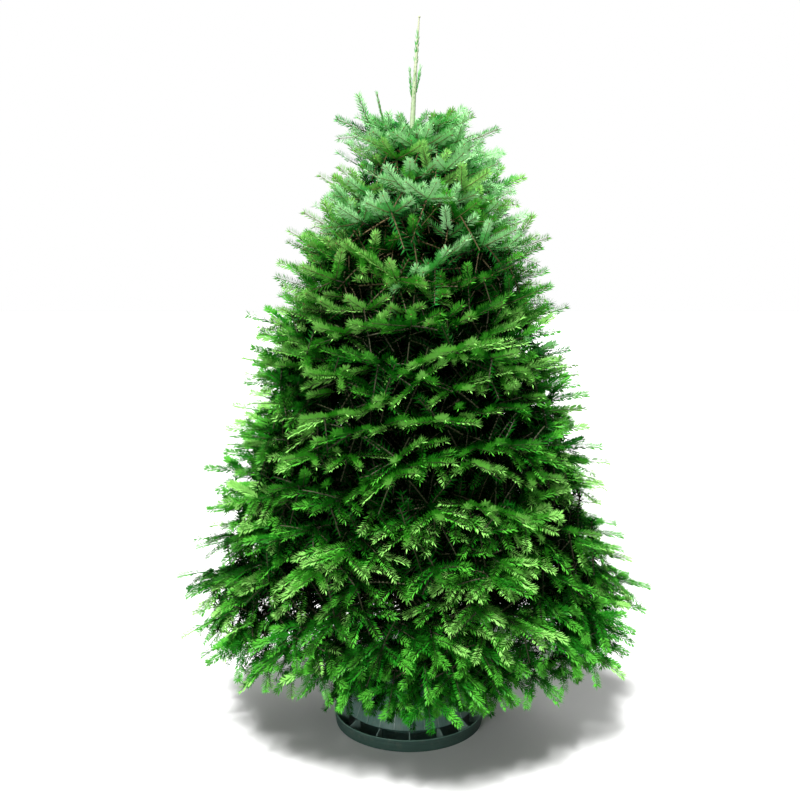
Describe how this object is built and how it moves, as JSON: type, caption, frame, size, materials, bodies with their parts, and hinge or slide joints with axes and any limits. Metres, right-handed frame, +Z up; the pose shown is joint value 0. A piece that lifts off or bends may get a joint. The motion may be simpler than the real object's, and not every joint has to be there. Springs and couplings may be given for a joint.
{
  "type": "christmas tree",
  "caption": "Full, undecorated cut fir with flat needled sprays, a bare upright leader and drooping lower boughs, held in a round ribbed plastic water stand.",
  "frame": {"origin": "centre of the stand's flat underside, on the floor", "axes": "+Z up along the trunk, -Y towards the front, +X to the right as seen from the front"},
  "size_m": [1.4574, 1.2784, 2.1],
  "materials": {
    "bark": "rough grey-brown fir bark",
    "foliage": "waxy green needles",
    "leader_foliage": "pale young needles",
    "stand_tray": "dark grey-green moulded plastic, satin",
    "stand_body": "grey-green moulded plastic, satin",
    "screw": "zinc-plated steel"
  },
  "bodies": {
    "root": {"trunk": "bark", "skirt_bough_1": "bark", "skirt_foliage_1": "foliage", "skirt_bough_2": "bark", "skirt_foliage_2": "foliage", "skirt_bough_3": "bark", "skirt_foliage_3": "foliage", "skirt_bough_4": "bark", "skirt_foliage_4": "foliage", "skirt_bough_5": "bark", "skirt_foliage_5": "foliage", "skirt_bough_6": "bark", "skirt_foliage_6": "foliage", "lower_bough_1": "bark", "lower_foliage_1": "foliage", "lower_bough_2": "bark", "lower_foliage_2": "foliage", "lower_bough_3": "bark", "lower_foliage_3": "foliage", "lower_bough_4": "bark", "lower_foliage_4": "foliage", "lower_bough_5": "bark", "lower_foliage_5": "foliage", "middle_bough_1": "bark", "middle_foliage_1": "foliage", "middle_bough_2": "bark", "middle_foliage_2": "foliage", "middle_bough_3": "bark", "middle_foliage_3": "foliage", "middle_bough_4": "bark", "middle_foliage_4": "foliage", "upper_bough_1": "bark", "upper_foliage_1": "foliage", "upper_bough_2": "bark", "upper_foliage_2": "foliage", "upper_bough_3": "bark", "upper_foliage_3": "foliage", "upper_bough_4": "bark", "upper_foliage_4": "foliage", "shoulder_bough_1": "bark", "shoulder_foliage_1": "foliage", "shoulder_bough_2": "bark", "shoulder_foliage_2": "foliage", "shoulder_bough_3": "bark", "shoulder_foliage_3": "foliage", "top_bough_1": "bark", "top_foliage_1": "foliage", "top_bough_2": "bark", "top_foliage_2": "foliage", "top_bough_3": "bark", "top_foliage_3": "foliage", "leader_twig_left": "leader_foliage", "leader_twig_right": "leader_foliage", "stand_tray": "stand_tray", "stand_body": "stand_body", "stand_screw_1": "screw", "stand_screw_2": "screw", "stand_screw_3": "screw", "stand_screw_4": "screw"}
  },
  "joints": []
}
